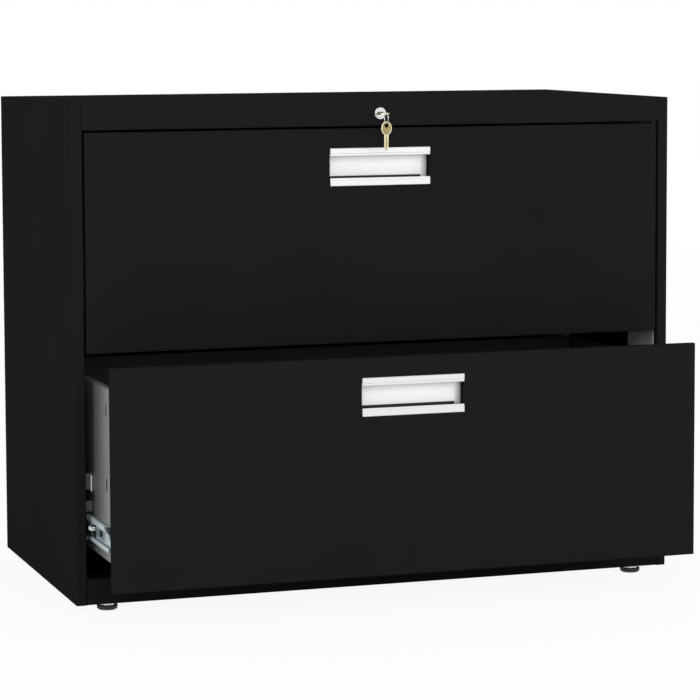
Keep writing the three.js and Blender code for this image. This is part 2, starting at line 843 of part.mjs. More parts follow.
for (const drawer of drawers) {
  const body = new THREE.Group();
  body.position.set(0, -drawer.open, drawer.level);
  body.add(
    piece(`${drawer.name}_drawer_front`, drawerFront(), 'black_paint'),
    piece(`${drawer.name}_drawer_inner_front`, innerFrontWall(), 'drawer_grey'),
    piece(`${drawer.name}_drawer_bottom`, drawerBottom(), 'drawer_grey'),
    piece(`${drawer.name}_drawer_back`, drawerBack(), 'drawer_grey'),
    piece(`${drawer.name}_drawer_pull`, pull(), 'pull_aluminium'),
    piece(`${drawer.name}_drawer_label`, labelCard(), 'label_card'),
  );
  cabinet.add(body);
  for (const { name, sign } of hands) {
    const place = `${drawer.name}_${name}`;
    body.add(piece(`${place}_drawer_side`, handed(drawerSide(), sign), 'drawer_grey'));
    const runners = [
      [`${place}_stop_bracket`, stopBracket(), 'bracket_steel', 0],
      [`${place}_slide_case_member`, caseMember(), 'zinc_slide', 0],
      [`${place}_slide_middle_member`, middleMember(), 'zinc_slide', middleShare],
      [`${place}_slide_retainer`, ballRetainer(), 'zinc_slide', retainerShare],
      [`${place}_slide_drawer_member`, drawerMember(), 'zinc_slide', 1],
    ];
    for (const [node, geometry, finish, share] of runners) {
      const runner = piece(node, handed(geometry, sign), finish);
      runner.position.set(0, -share * drawer.open, drawer.level + slideLevel);
      cabinet.add(runner);
    }
  }
}

// The key lies flat in the lock, and the ring hangs through the hole in its bow.
const bowRim = keyHoleInset - keyHoleRadius;
const ringReach = ringRadius - ringWire / 2 - seam;
const ringY = bowRim / 2 - keyInsertedFrom;
const ringZ = lockHeight + keyThickness / 2 - Math.sqrt(ringReach ** 2 - (bowRim / 2) ** 2);

const key = piece('key', keyBlank(), 'key_brass');
key.position.set(0, -keyInsertedFrom, lockHeight);
const ring = piece('key_ring', keyRing(), 'ring_steel');
ring.position.set(0, ringY, ringZ);
cabinet.add(key, ring);

export default cabinet;
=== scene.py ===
import math

import bmesh
import bpy
from mathutils import Matrix, Vector


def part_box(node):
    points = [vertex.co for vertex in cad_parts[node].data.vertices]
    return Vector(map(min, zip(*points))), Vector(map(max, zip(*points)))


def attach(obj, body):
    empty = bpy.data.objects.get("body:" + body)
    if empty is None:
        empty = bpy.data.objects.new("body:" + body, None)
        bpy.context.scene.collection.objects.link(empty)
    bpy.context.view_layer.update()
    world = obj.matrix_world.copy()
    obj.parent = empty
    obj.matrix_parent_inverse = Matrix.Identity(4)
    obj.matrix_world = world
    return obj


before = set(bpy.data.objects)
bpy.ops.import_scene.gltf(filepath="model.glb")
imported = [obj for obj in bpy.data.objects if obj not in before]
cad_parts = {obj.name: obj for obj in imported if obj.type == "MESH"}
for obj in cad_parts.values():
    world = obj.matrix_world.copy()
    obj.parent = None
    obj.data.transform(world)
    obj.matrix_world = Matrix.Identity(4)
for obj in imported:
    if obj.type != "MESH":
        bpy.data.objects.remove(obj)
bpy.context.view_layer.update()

bl_info = {
    "name": "Lateral Filing Cabinet",
    "version": (1, 0, 0),
    "blender": (4, 5, 0),
    "location": "3D View > Sidebar > Cabinet",
    "description": "Finishes, small fittings and studio for a two-drawer lateral filing cabinet",
    "category": "Object",
}

LEVELS = ("upper", "lower")
HANDS = {"left": -1, "right": 1}
SLIDES = [f"{level}_{hand}" for level in LEVELS for hand in HANDS]
GLIDES = [f"{hand}_{end}_glide" for hand in HANDS for end in ("front", "rear")]
NUT_SIDES = 6
ROUND_STEPS = 16
SHARP_ANGLE = math.radians(38.0)
ACROSS = Vector((1.0, 0.0, 0.0))
BACK = Vector((0.0, 1.0, 0.0))
UP = Vector((0.0, 0.0, 1.0))
WHITE = (1.0, 1.0, 1.0, 1.0)
# Depths of the cuts in a key's blade in metres, from the bow to the tip.
KEY_CUTS = (0.0014, 0.0007, 0.0018, 0.0011)
# Samples of a softened normal, and its cosine with the plain one at a sharp edge and on a flat face.
BEVEL_SAMPLES = 6
EDGE_COSINE = 0.8
FLAT_COSINE = 0.995
# Bands over which the dark film on a slide member's web fades, as shares of its height and its length; the
# film is grease and painted shade.
WEB_FOOT = (0.24, 0.32)
WEB_HEAD = (0.66, 0.74)
WEB_FRONT = (0.08, 0.11)


def colour(label, detail, value):
    """A colour property for a finish."""
    return bpy.props.FloatVectorProperty(
        name=label, description=detail, subtype="COLOR", size=3, min=0.0, max=1.0, default=value)


def share(label, detail, value):
    """A property between nought and one."""
    return bpy.props.FloatProperty(
        name=label, description=detail, subtype="FACTOR", min=0.0, max=1.0, default=value)


def length(label, detail, value):
    """A length property, in metres."""
    return bpy.props.FloatProperty(
        name=label, description=detail, unit="LENGTH", min=0.0, precision=5, default=value)


def turn(label, detail, value):
    """An angle property."""
    return bpy.props.FloatProperty(name=label, description=detail, unit="ROTATION", default=value)


def spot(label, detail, value):
    """A place in the studio, in metres."""
    return bpy.props.FloatVectorProperty(
        name=label, description=detail, subtype="TRANSLATION", size=3, precision=5, default=value)


def amount(label, detail, value):
    """A plain number property."""
    return bpy.props.FloatProperty(name=label, description=detail, min=0.0, default=value)


class CabinetFinishes(bpy.types.PropertyGroup):
    """Colours and roughness of the cabinet's finishes."""

    paint: colour("Paint", "Black powder coat of the case and drawer fronts", (0.0118, 0.0118, 0.0121))
    paint_edge: colour("Paint edge", "Powder coat where it is thin along the edges", (0.02, 0.02, 0.0205))
    paint_roughness: share("Paint roughness", "Roughness of the powder coat", 0.72)
    paint_ior: amount("Paint IOR", "Index of refraction of the powder coat, low for a matt look", 1.008)
    drawer: colour("Drawer", "Satin grey of the drawer sides", (0.24, 0.256, 0.248))
    # The inside grey is darker than the drawer sides as painted shade inside the drawers.
    inside: colour("Inside", "Duller grey of the walls inside a drawer", (0.06, 0.0612, 0.0607))
    bracket: colour("Bracket", "Dark phosphate of the stop brackets", (0.085, 0.085, 0.083))
    galvanised: colour("Galvanised", "Zinc coat of the uprights", (0.48, 0.485, 0.45))
    zinc: colour("Slide zinc", "Bright zinc plate of the slides", (0.47, 0.525, 0.56))
    # The grease colour is partly painted shade on the slides' inner members and webs.
    grease_and_shade: colour("Grease", "Dark film on the slides' inner members and webs", (0.10, 0.15, 0.165))
    pull: colour("Pull", "Satin aluminium of the pulls", (0.7, 0.705, 0.72))
    card: colour("Card", "Paper of the label cards", (0.88, 0.88, 0.892))
    chrome: colour("Chrome", "Plating of the lock", (0.8, 0.81, 0.82))
    brass: colour("Brass", "Metal of the keys where it is rubbed", (0.7, 0.64, 0.44))
    patina: colour("Patina", "Duller metal in the hollows of the keys", (0.3, 0.24, 0.11))
    steel: colour("Steel", "Metal of the ring, balls, rivets and nuts", (0.66, 0.67, 0.69))
    glide: colour("Glide", "Plated steel of the glides", (0.035, 0.036, 0.038))
    # This black stands in for shade: it colours the sheets in the pulls' recesses, the blocks ahead of the
    # drawer members and the plate round the keyway.
    shade_black: colour("Rubber", "Black of the liners, slide stops and shutter", (0.012, 0.012, 0.0125))
    nylon: colour("Nylon", "White plastic of the stop pins and slide bumpers", (0.84, 0.85, 0.84))
    iron: colour("Iron", "Cast metal of the counterweight", (0.045, 0.045, 0.048))
    rust: colour("Rust", "Rusty patches on the counterweight", (0.09, 0.055, 0.035))


class CabinetFittings(bpy.types.PropertyGroup):
    """Sizes of the small fittings."""

    ball_radius: length("Ball radius", "Radius of the slide balls", 0.0015)
    ball_pitch: length("Ball pitch", "Spacing of the balls in a retainer", 0.014)
    rivet_radius: length("Rivet radius", "Radius of the rivet heads on the slides", 0.0032)
    rivet_height: length("Rivet height", "Height of the rivet heads on the slides", 0.0012)
    pin_radius: length("Pin radius", "Radius of the nylon stop pins", 0.00115)
    pin_length: length("Pin length", "Length of the nylon stop pins", 0.0235)
    bumper_width: length("Bumper width", "Width of the nylon bumper on a middle member", 0.0068)
    bumper_length: length("Bumper length", "Length of the nylon bumper on a middle member", 0.013)
    bumper_height: length("Bumper height", "Height of the nylon bumper on a middle member", 0.0048)
    bumper_slot: length("Bumper slot", "Height of the slot in the bumper", 0.0012)
    bumper_rise: length("Bumper rise", "Height of the bumper above the middle of its slide", 0.0024)
    bumper_nose: length("Bumper nose", "Length of the bumper ahead of its middle member", 0.0016)
    bumper_grip: length("Bumper grip", "Width of the notch that grips the middle member's web", 0.0014)
    # The next five sizes place a dark block ahead of each drawer member, painted shade in the socket there.
    shade_block_length: length("Stop length", "Length of the rubber stop ahead of a drawer member", 0.016)
    shade_block_height: length("Stop height", "Height of the rubber stop ahead of a drawer member", 0.0085)
    shade_block_thickness: length("Stop thickness", "Thickness of the rubber stop ahead of a drawer member", 0.0024)
    shade_block_inset: length("Stop inset", "Distance of the stop's middle behind a member's front", 0.0165)
    shade_block_drop: length("Stop drop", "Distance of the stop's middle below a member's top", 0.0055)
    back_rivet_radius: length("Back rivet radius", "Radius of the rivet heads on the back", 0.0034)
    back_rivet_height: length("Back rivet height", "Height of the rivet heads on the back", 0.0011)
    back_rivet_inset: length("Back rivet inset", "Distance of the rivets from the back's edges", 0.012)
    back_rivet_foot: length("Back rivet foot", "Height of the lowest rivets above the back's foot", 0.036)
    back_rivet_head: length("Back rivet head", "Distance of the side rivets below the back's top", 0.06)
    back_rivet_end: length("Back rivet end", "Distance of the top row's ends from the back's sides", 0.048)
    back_rivet_pitch: length("Back rivet pitch", "Greatest spacing of the rivets on the back", 0.15)
    # The next three sizes place a thin black sheet in each pull's recess, as painted shade under the label
    # card.
    recess_shade_thickness: length("Liner thickness", "Thickness of the liner in a pull", 0.0004)
    recess_shade_front: length("Liner front", "Distance of the liner behind the face of a pull", 0.0035)
    recess_shade_rise: length("Liner rise", "Height of the liner above the foot of a pull", 0.0066)
    pull_wall: length("Pull wall", "Thickness of a pull's back wall, with its clearance", 0.0021)
    nut_width: length("Nut width", "Width of the glide nuts across the flats", 0.0215)
    nut_chamfer: length("Nut chamfer", "Chamfer on the corners of the glide nuts", 0.0012)
    nut_rise: length("Nut rise", "Height of the glide nuts above the floor", 0.0063)
    nut_height: length("Nut height", "Height of the glide nuts themselves", 0.0038)
    ball_inset: length("Ball inset", "Distance of the ball line inside a retainer's edge", 0.0004)
    rivet_inset: length("Rivet inset", "Distance of the slide rivets from a member's ends", 0.027)
    member_sheet: length("Member sheet", "Thickness of a slide member's metal", 0.0012)
    pin_gap: length("Pin gap", "Distance of a stop pin outward from its bracket's edge", 0.0002)
    pin_drop: length("Pin drop", "Distance of a stop pin below its bracket's top", 0.0015)
    ring_wire: length("Ring wire", "Thickness of the key ring's wire", 0.0012)
    key_length: length("Key length", "Length of a key", 0.042)
    key_thickness: length("Key thickness", "Thickness of a key", 0.0018)
    bow_width: length("Bow width", "Width of a key's bow", 0.016)
    bow_length: length("Bow length", "Length of a key's bow", 0.020)
    blade_width: length("Blade width", "Width of a key's blade", 0.0068)
    tip_length: length("Tip length", "Length of the point at the end of a key's blade", 0.005)
    tip_width: length("Tip width", "Width of a key's blade at its end", 0.0022)
    key_hole: length("Key hole radius", "Radius of the hole in a key's bow", 0.003)
    key_rim: length("Key rim", "Metal between the hole and the end of a key's bow", 0.003)
    groove_width: length("Groove width", "Width of the groove along a key's blade", 0.0021)
    cut_pitch: length("Cut pitch", "Spacing of the cuts in a key's blade", 0.004)
    rim_width: length("Rim width", "Width of the raised rim on a key's bow", 0.0016)
    rim_height: length("Rim height", "Height of the raised rim on a key's bow", 0.00025)
    # The next four sizes give a dark plate round the keyway, painted shade in place of the keyway's own
    # shadow.
    keyway_shade_long: length("Shutter length", "Length of the dark shutter round the keyway", 0.011)
    keyway_shade_tall: length("Shutter height", "Height of the dark shutter round the keyway", 0.0046)
    keyway_shade_rim: length("Shutter rim", "Width of the shutter beside the keyway", 0.001)
    keyway_shade_thickness: length("Shutter thickness", "Thickness of the shutter", 0.0003)


class CabinetStage(bpy.types.PropertyGroup):
    """Camera, lights and floor."""

    camera_place: spot("Camera place", "Where the camera stands", (-1.35544, -4.05565, 0.84660))
    camera_yaw: turn("Camera yaw", "Turn of the camera to the right of the back wall", 0.3249)
    camera_pitch: turn("Camera pitch", "Tilt of the camera above the level", -0.0886)
    camera_roll: turn("Camera roll", "Roll of the camera about its own axis", -0.0036)
    camera_lens: amount("Lens", "Focal length of the camera in millimetres", 146.023)
    camera_sensor: amount("Sensor", "Width of the camera's sensor in millimetres", 36.0)
    camera_shift: bpy.props.FloatProperty(
        name="Shift", description="Upward shift of the lens, as a share of the frame", default=-0.12)
    ambient: amount("Ambient", "Strength of the light from all round", 0.6)
    key_place: spot("Key place", "Where the large lamp in front hangs", (-1.0, -4.4, 2.0))
    key_size: length("Key size", "Side of the large lamp in front", 3.0)
    key_power: amount("Key power", "Power of the large lamp in front, in watts", 81.0)
    fill_place: spot("Fill place", "Where the lamp to the right hangs", (3.0, -3.6, 2.2))
    fill_size: length("Fill size", "Side of the lamp to the right", 2.4)
    fill_power: amount("Fill power", "Power of the lamp to the right, in watts", 45.0)
    side_place: spot("Side place", "Where the low lamp to the left stands", (-4.4, -0.6, 0.65))
    side_size: length("Side size", "Side of the low lamp to the left", 1.2)
    side_power: amount("Side power", "Power of the low lamp to the left, in watts", 45.0)
    lamp_aim: spot("Lamp aim", "Where the lamps are pointed", (0.0, 0.0, 0.35))
    floor_size: length("Floor size", "Side of the floor", 40.0)
    floor_paint: colour("Floor paint", "Pale paint of the floor", (0.96, 0.96, 0.96))
    floor_glow: share("Floor glow", "Share of plain white in the floor near the cabinet, as it is seen", 0.92)
    fade_start: length("Fade start", "Distance at which the floor begins to turn plain white", 1.0)
    fade_end: length("Fade end", "Distance at which the floor is plain white", 7.0)


class Graph:
    """A material's nodes, with a short call for each kind that the finishes use."""

    def __init__(self, name):
        self.material = bpy.data.materials.new(name)
        self.material.use_nodes = True
        self.tree = self.material.node_tree
        self.shader = self.tree.nodes["Principled BSDF"]
        self.place = self.add("ShaderNodeTexCoord").outputs["Object"]

    def add(self, kind, **settings):
        node = self.tree.nodes.new(kind)
        for key, value in settings.items():
            setattr(node, key, value)
        return node

    def join(self, source, target):
        self.tree.links.new(source, target)

    def stretched(self, scale):
        """The object's coordinates, scaled separately along each axis."""
        node = self.add("ShaderNodeMapping")
        node.inputs["Scale"].default_value = scale
        self.join(self.place, node.inputs["Vector"])
        return node.outputs["Vector"]

    def noise(self, scale, detail=2.0, place=None):
        node = self.add("ShaderNodeTexNoise")
        node.inputs["Scale"].default_value = scale
        node.inputs["Detail"].default_value = detail
        self.join(place or self.place, node.inputs["Vector"])
        return node.outputs["Fac"]

    def cells(self, scale):
        """A flat random value for each crystal of a zinc coat."""
        node = self.add("ShaderNodeTexVoronoi")
        node.inputs["Scale"].default_value = scale
        self.join(self.place, node.inputs["Vector"])
        split = self.add("ShaderNodeSeparateColor")
        self.join(node.outputs["Color"], split.inputs["Color"])
        return split.outputs["Red"]

    def span(self, value, low, high, start=0.0, end=1.0):
        node = self.add("ShaderNodeMapRange")
        limits = {"From Min": start, "From Max": end, "To Min": low, "To Max": high}
        for key, number in limits.items():
            node.inputs[key].default_value = number
        self.join(value, node.inputs["Value"])
        return node.outputs["Result"]

    def edges(self, radius):
        """Nought on flat faces, rising to one along the outer and inner edges."""
        bevel = self.add("ShaderNodeBevel", samples=BEVEL_SAMPLES)
        bevel.inputs["Radius"].default_value = radius
        normal = self.add("ShaderNodeNewGeometry").outputs["Normal"]
        dot = self.add("ShaderNodeVectorMath", operation="DOT_PRODUCT")
        self.join(bevel.outputs["Normal"], dot.inputs[0])
        self.join(normal, dot.inputs[1])
        return self.span(dot.outputs["Value"], 1.0, 0.0, EDGE_COSINE, FLAT_COSINE)

    def web(self):
        """One along the middle of a slide member, falling to nought at its edges and its front end: where
        painted shade and grease darken the web.
        """
        split = self.add("ShaderNodeSeparateXYZ")
        self.join(self.add("ShaderNodeTexCoord").outputs["Generated"], split.inputs["Vector"])
        above = self.span(split.outputs["Z"], 0.0, 1.0, *WEB_FOOT)
        below = self.span(split.outputs["Z"], 1.0, 0.0, *WEB_HEAD)
        behind = self.span(split.outputs["Y"], 0.0, 1.0, *WEB_FRONT)
        return self.times(self.times(above, below), behind)

    def times(self, first, second):
        node = self.add("ShaderNodeMath", operation="MULTIPLY")
        self.join(first, node.inputs[0])
        self.join(second, node.inputs[1])
        return node.outputs["Value"]

    def blend(self, mask, first, second):
        """A mix of two colours, each a triple or a socket."""
        # A Mix node has its colour inputs at index 6 and 7, and its colour output at index 2.
        node = self.add("ShaderNodeMix", data_type="RGBA")
        self.join(mask, node.inputs["Factor"])
        for index, value in ((6, first), (7, second)):
            if isinstance(value, bpy.types.NodeSocket):
                self.join(value, node.inputs[index])
            else:
                node.inputs[index].default_value = (*value, 1.0)
        return node.outputs[2]

    def bump(self, height, strength, depth, radius=None):
        """Relief on the shader, over edges softened to the given radius."""
        node = self.add("ShaderNodeBump")
        node.inputs["Strength"].default_value = strength
        node.inputs["Distance"].default_value = depth
        self.join(height, node.inputs["Height"])
        if radius:
            bevel = self.add("ShaderNodeBevel", samples=BEVEL_SAMPLES)
            bevel.inputs["Radius"].default_value = radius
            self.join(bevel.outputs["Normal"], node.inputs["Normal"])
        self.join(node.outputs["Normal"], self.shader.inputs["Normal"])

    def set(self, **values):
        """Plain values on the shader's own sockets, and links where a socket is given."""
        for key, value in values.items():
            socket = self.shader.inputs[key.replace("_", " ").title().replace("Ior", "IOR")]
            if isinstance(value, bpy.types.NodeSocket):
                self.join(value, socket)
            else:
                socket.default_value = (*value, 1.0) if socket.type == "RGBA" else value


def shade(value, factor):
    """A colour made lighter or darker."""
    return tuple(min(1.0, part * factor) for part in value)


def powder_coat(finish):
    """Matt black powder coat: orange peel, cloudy gloss, and a thinner coat along the edges."""
    graph = Graph("black_powder_coat")
    cloud = graph.noise(7.0)
    patchy = graph.span(graph.noise(38.0, 3.0), 0.0, 1.0, start=0.35, end=0.7)
    thin = graph.times(graph.edges(0.0011), patchy)
    body = graph.blend(cloud, shade(finish.paint, 0.88), shade(finish.paint, 1.12))
    rough = finish.paint_roughness
    graph.set(base_color=graph.blend(thin, body, finish.paint_edge), ior=finish.paint_ior,
              roughness=graph.span(cloud, rough - 0.06, rough + 0.06))
    graph.bump(graph.noise(620.0, 3.0), strength=0.1, depth=0.0002, radius=0.0007)
    return graph.material


def drawer_paint(name, base, metallic, rough):
    """Grey paint with a fine grain, and brighter where its edges are scuffed."""
    graph = Graph(name)
    cloud = graph.noise(11.0)
    patchy = graph.span(graph.noise(60.0, 4.0), 0.0, 1.0, start=0.45, end=0.7)
    scuffed = graph.times(graph.edges(0.0009), patchy)
    body = graph.blend(cloud, shade(base, 0.92), shade(base, 1.08))
    graph.set(base_color=graph.blend(scuffed, body, shade(base, 1.8)), metallic=metallic,
              specular_ior_level=0.3, roughness=graph.span(cloud, rough - 0.05, rough + 0.05))
    graph.bump(graph.noise(800.0, 2.0), strength=0.08, depth=0.00015, radius=0.0005)
    return graph.material


def zinc_coat(finish):
    """Dull hot-dip zinc with its pattern of crystals."""
    graph = Graph("galvanised_sheet")
    crystal = graph.cells(130.0)
    stain = graph.noise(9.0, 4.0)
    body = graph.blend(crystal, shade(finish.galvanised, 0.8), shade(finish.galvanised, 1.2))
    graph.set(base_color=graph.blend(graph.span(stain, 0.0, 0.5), body, shade(finish.galvanised, 0.65)),
              metallic=0.2, roughness=graph.span(crystal, 0.4, 0.56))
    graph.bump(graph.noise(260.0, 3.0), strength=0.08, depth=0.0001, radius=0.0004)
    return graph.material


def phosphate(finish):
    """Dark phosphate on pressed steel, rubbed bright along its edges."""
    graph = Graph("bracket_dark_phosphate")
    mottle = graph.noise(150.0, 4.0)
    patchy = graph.span(graph.noise(70.0, 3.0), 0.0, 1.0, start=0.4, end=0.7)
    rubbed = graph.times(graph.edges(0.0006), patchy)
    body = graph.blend(mottle, shade(finish.bracket, 0.82), shade(finish.bracket, 1.2))
    graph.set(base_color=graph.blend(rubbed, body, shade(finish.bracket, 3.0)), metallic=0.2,
              specular_ior_level=0.2, roughness=graph.span(mottle, 0.5, 0.66))
    graph.bump(mottle, strength=0.1, depth=0.0001, radius=0.0005)
    return graph.material


def zinc_plate(finish, greased_and_shaded):
    """Plated slide steel rubbed lengthwise by the balls, with a dark film of grease and painted shade all
    over or only along the web.
    """
    graph = Graph("slide_greased_shaded_plate" if greased_and_shaded else "slide_zinc_plate_shaded_web")
    rub = graph.noise(1.0, 3.0, graph.stretched((900.0, 14.0, 900.0)))
    bright = graph.span(rub, 0.0, 0.6, start=0.5, end=0.8)
    plate = graph.blend(bright, finish.zinc, shade(finish.zinc, 1.25))
    # The dark film is grease and painted shade; on a drawer member it is kept off the lips and the front end,
    # where light falls.
    film = graph.span(graph.noise(45.0, 3.0), 0.6, 1.0)
    if not greased_and_shaded:
        film = graph.times(film, graph.web())
    plate = graph.blend(film, plate, finish.grease_and_shade)
    graph.set(base_color=plate, metallic=1.0 if greased_and_shaded else 0.4,
              roughness=graph.span(rub, 0.24, 0.4) if greased_and_shaded else graph.span(rub, 0.34, 0.5))
    graph.bump(rub, strength=0.06, depth=0.00008, radius=0.0004)
    return graph.material


def satin_aluminium(finish):
    """Satin anodised aluminium, brushed along its length, with painted shade along its edges and at the steps
    of its lips.
    """
    graph = Graph("pull_satin_aluminium")
    brush = graph.noise(1.0, 3.0, graph.stretched((10.0, 1100.0, 1100.0)))
    body = graph.blend(brush, shade(finish.pull, 0.96), shade(finish.pull, 1.04))
    # Darker along the edges: painted shade at the lips' steps and inner corners.
    graph.set(base_color=graph.blend(graph.edges(0.0006), body, shade(finish.pull, 0.5)),
              metallic=0.85, roughness=graph.span(brush, 0.34, 0.46))
    graph.bump(brush, strength=0.05, depth=0.00006, radius=0.0005)
    return graph.material


def paper_card(finish):
    """White card with a faint fibre."""
    graph = Graph("label_paper_card")
    fibre = graph.noise(1.0, 4.0, graph.stretched((260.0, 500.0, 700.0)))
    graph.set(base_color=graph.blend(fibre, shade(finish.card, 0.97), shade(finish.card, 1.03)),
              specular_ior_level=0.2, roughness=graph.span(fibre, 0.7, 0.85))
    graph.bump(fibre, strength=0.08, depth=0.00005)
    return graph.material


def plain_metal(name, base, low, high, scratch):
    """Bare or plated metal with fine scratches, and lighter edges that are partly wear and partly painted
    highlight.
    """
    graph = Graph(name)
    haze = graph.noise(90.0, 3.0)
    scratches = graph.noise(scratch, 4.0)
    # Lighter edges: rubbed wear, plus a painted highlight that makes an edge-on key look white.
    wear_and_highlight = graph.times(graph.edges(0.0005), graph.span(haze, 0.2, 0.9))
    body = graph.blend(haze, shade(base, 0.9), shade(base, 1.05))
    graph.set(base_color=graph.blend(wear_and_highlight, body, shade(base, 1.2)), metallic=1.0,
              roughness=graph.span(scratches, low, high))
    graph.bump(scratches, strength=0.05, depth=0.00005, radius=0.0003)
    return graph.material


def moulded_plastic(name, base, rough):
    """Moulded plastic with a fine spark texture."""
    graph = Graph(name)
    grain = graph.noise(1400.0, 2.0)
    cloud = graph.noise(30.0)
    graph.set(base_color=graph.blend(cloud, shade(base, 0.93), shade(base, 1.07)), specular_ior_level=0.35,
              roughness=graph.span(cloud, rough - 0.06, rough + 0.06))
    graph.bump(grain, strength=0.12, depth=0.00008, radius=0.0005)
    return graph.material


def rough_iron(finish):
    """Cast counterweight with a pitted skin."""
    graph = Graph("weight_cast_iron")
    pits = graph.noise(210.0, 5.0)
    rust = graph.span(graph.noise(24.0, 4.0), 0.0, 0.6, start=0.5, end=0.75)
    graph.set(base_color=graph.blend(rust, finish.iron, finish.rust), metallic=0.4,
              roughness=graph.span(pits, 0.65, 0.9))
    graph.bump(pits, strength=0.4, depth=0.0005, radius=0.0012)
    return graph.material


def outward_sign(slide):
    """The direction along X from the drawer to a slide."""
    return HANDS[slide.split("_")[1]]


def dress(material, names):
    """Gives a finish to carried-over CAD nodes."""
    for name in names:
        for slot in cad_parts[name].material_slots:
            slot.material = material


def make_piece(name, bm, body, material):
    """Turns a bmesh into a piece that moves with a body."""
    bmesh.ops.recalc_face_normals(bm, faces=bm.faces)
    mesh = bpy.data.meshes.new(name)
    bm.to_mesh(mesh)
    bm.free()
    for face in mesh.polygons:
        face.use_smooth = True
    mesh.set_sharp_from_angle(angle=SHARP_ANGLE)
    mesh.materials.append(material)
    piece = bpy.data.objects.new(name, mesh)
    bpy.context.scene.collection.objects.link(piece)
    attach(piece, body)


def basis(x, y, z, origin):
    """A placement whose axes are the three given directions."""
    return Matrix.Translation(origin) @ Matrix((x, y, z)).transposed().to_4x4()


def add_turned(bm, outline, place, steps=ROUND_STEPS):
    """A turned solid: (radius, height) pairs from the axis round to the axis, about the placement's Z."""
    rows = []
    for radius, height in outline:
        count = steps if radius > 0.0 else 1
        angles = [2.0 * math.pi * step / steps for step in range(count)]
        rows.append([bm.verts.new(place @ Vector((radius * math.cos(a), radius * math.sin(a), height)))
                     for a in angles])
    for low, high in zip(rows, rows[1:]):
        for step in range(steps):
            after = (step + 1) % steps
            face = [low[step % len(low)], low[after % len(low)]]
            face += [high[after % len(high)], high[step % len(high)]]
            bm.faces.new(list(dict.fromkeys(face)))


def add_plate(bm, loops, thickness, bevel, place):
    """A flat plate with holes and softened edges, in the placement's XY plane."""
    curve = bpy.data.curves.new("plate_outline", "CURVE")
    curve.dimensions = "2D"
    curve.fill_mode = "BOTH"
    curve.extrude = thickness / 2.0 - bevel
    curve.bevel_depth = bevel
    curve.bevel_resolution = 1
    curve.offset = -bevel
    for loop in loops:
        spline = curve.splines.new("POLY")
        spline.points.add(len(loop) - 1)
        spline.use_cyclic_u = True
        for point, (u, v) in zip(spline.points, loop):
            point.co = (u, v, 0.0, 1.0)
    shell = bpy.data.objects.new("plate_outline", curve)
    bpy.context.scene.collection.objects.link(shell)
    graph = bpy.context.evaluated_depsgraph_get()
    mesh = bpy.data.meshes.new_from_object(shell.evaluated_get(graph))
    mesh.transform(place)
    bm.from_mesh(mesh)
    bpy.data.objects.remove(shell)
    bpy.data.curves.remove(curve)
    bpy.data.meshes.remove(mesh)


def ellipse(wide, tall, centre, steps=40):
    """Points round an ellipse."""
    angles = [2.0 * math.pi * step / steps for step in range(steps)]
    return [(centre[0] + wide * math.cos(a), centre[1] + tall * math.sin(a)) for a in angles]


def stadium(long, tall, steps=8):
    """Points round a bar with rounded ends, about its middle."""
    end = tall / 2.0
    reach = long / 2.0 - end
    points = []
    for side, start in ((1, -0.5), (-1, 0.5)):
        for step in range(steps + 1):
            angle = math.pi * (start + step / steps)
            points.append((side * reach + end * math.cos(angle), end * math.sin(angle)))
    return points


def domed(radius, height):
    """Outline of a low rivet head."""
    rises = ((0.0, 1.0), (0.45, 0.94), (0.78, 0.7), (0.95, 0.36), (1.0, 0.0), (0.0, 0.0))
    return [(radius * r, height * h) for r, h in rises]


def evenly(low, high, pitch):
    """Places from low to high, no further apart than the pitch."""
    count = max(1, math.ceil((high - low) / pitch - 1e-6))
    return [low + (high - low) * step / count for step in range(count + 1)]


class CABINET_OT_paint_case(bpy.types.Operator):
    """Powder coat on the case and the drawer fronts"""

    bl_idname = "cabinet.paint_case"
    bl_label = "Paint Case"
    bl_options = {"REGISTER", "UNDO"}

    def execute(self, context):
        panels = ["top_panel", "back_panel", "bottom_panel", "kick_rail"]
        panels += [f"{hand}_side_panel" for hand in HANDS]
        panels += [f"{level}_drawer_front" for level in LEVELS]
        dress(powder_coat(context.scene.cabinet_finishes), panels)
        return {"FINISHED"}


class CABINET_OT_paint_drawers(bpy.types.Operator):
    """Grey paint on the drawer bodies, with a sheen on their sides"""

    bl_idname = "cabinet.paint_drawers"
    bl_label = "Paint Drawers"
    bl_options = {"REGISTER", "UNDO"}

    def execute(self, context):
        finishes = context.scene.cabinet_finishes
        walls = [f"{level}_drawer_{wall}" for level in LEVELS for wall in ("inner_front", "bottom", "back")]
        # The walls inside the drawers get the darker grey, as painted shade.
        dress(drawer_paint("drawer_inside_shaded_grey", finishes.inside, metallic=0.0, rough=0.6), walls)
        sides = [f"{slide}_drawer_side" for slide in SLIDES]
        dress(drawer_paint("drawer_side_grey", finishes.drawer, metallic=0.8, rough=0.41), sides)
        return {"FINISHED"}


class CABINET_OT_plate_metal(bpy.types.Operator):
    """Zinc on the uprights, lock works and slides, and phosphate on the stop brackets"""

    bl_idname = "cabinet.plate_metal"
    bl_label = "Plate Metal"
    bl_options = {"REGISTER", "UNDO"}

    def execute(self, context):
        finishes = context.scene.cabinet_finishes
        sheets = [f"{hand}_{end}_upright" for hand in HANDS for end in ("front", "rear")]
        dress(zinc_coat(finishes), sheets + ["lock_cam", "lock_bar", "interlock_rod"])
        dress(phosphate(finishes), [f"{slide}_stop_bracket" for slide in SLIDES])
        dress(zinc_plate(finishes, greased_and_shaded=False), [f"{slide}_slide_drawer_member" for slide in SLIDES])
        inner = ("case_member", "middle_member", "retainer")
        names = [f"{slide}_slide_{member}" for slide in SLIDES for member in inner]
        dress(zinc_plate(finishes, greased_and_shaded=True), names)
        return {"FINISHED"}


